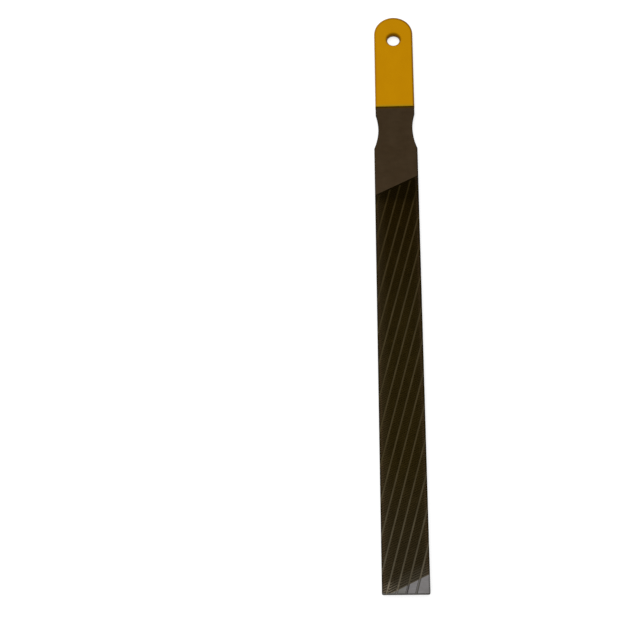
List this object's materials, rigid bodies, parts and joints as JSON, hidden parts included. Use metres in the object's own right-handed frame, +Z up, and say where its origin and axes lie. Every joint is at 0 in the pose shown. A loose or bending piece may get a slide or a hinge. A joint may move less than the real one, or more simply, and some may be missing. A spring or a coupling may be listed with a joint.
{
  "type": "hand file",
  "caption": "Flat parallel hand file with slanting single-cut teeth crossed by chip grooves, a waisted neck and a dipped yellow grip with a hanging hole.",
  "frame": {"origin": "on the surface that the file lies on, under the middle of its length and width", "axes": "+Y from the tip towards the grip, +Z up from the fine face to the coarse face, +X to the right seen from above with the grip away"},
  "size_m": [0.0248, 0.342, 0.0046],
  "materials": {
    "steel": "dark oiled tool steel, cut teeth, satin where it is uncut",
    "vinyl": "smooth satin dipped vinyl, amber yellow"
  },
  "bodies": {
    "root": {"file_blade": "steel", "vinyl_grip": "vinyl"}
  },
  "joints": []
}
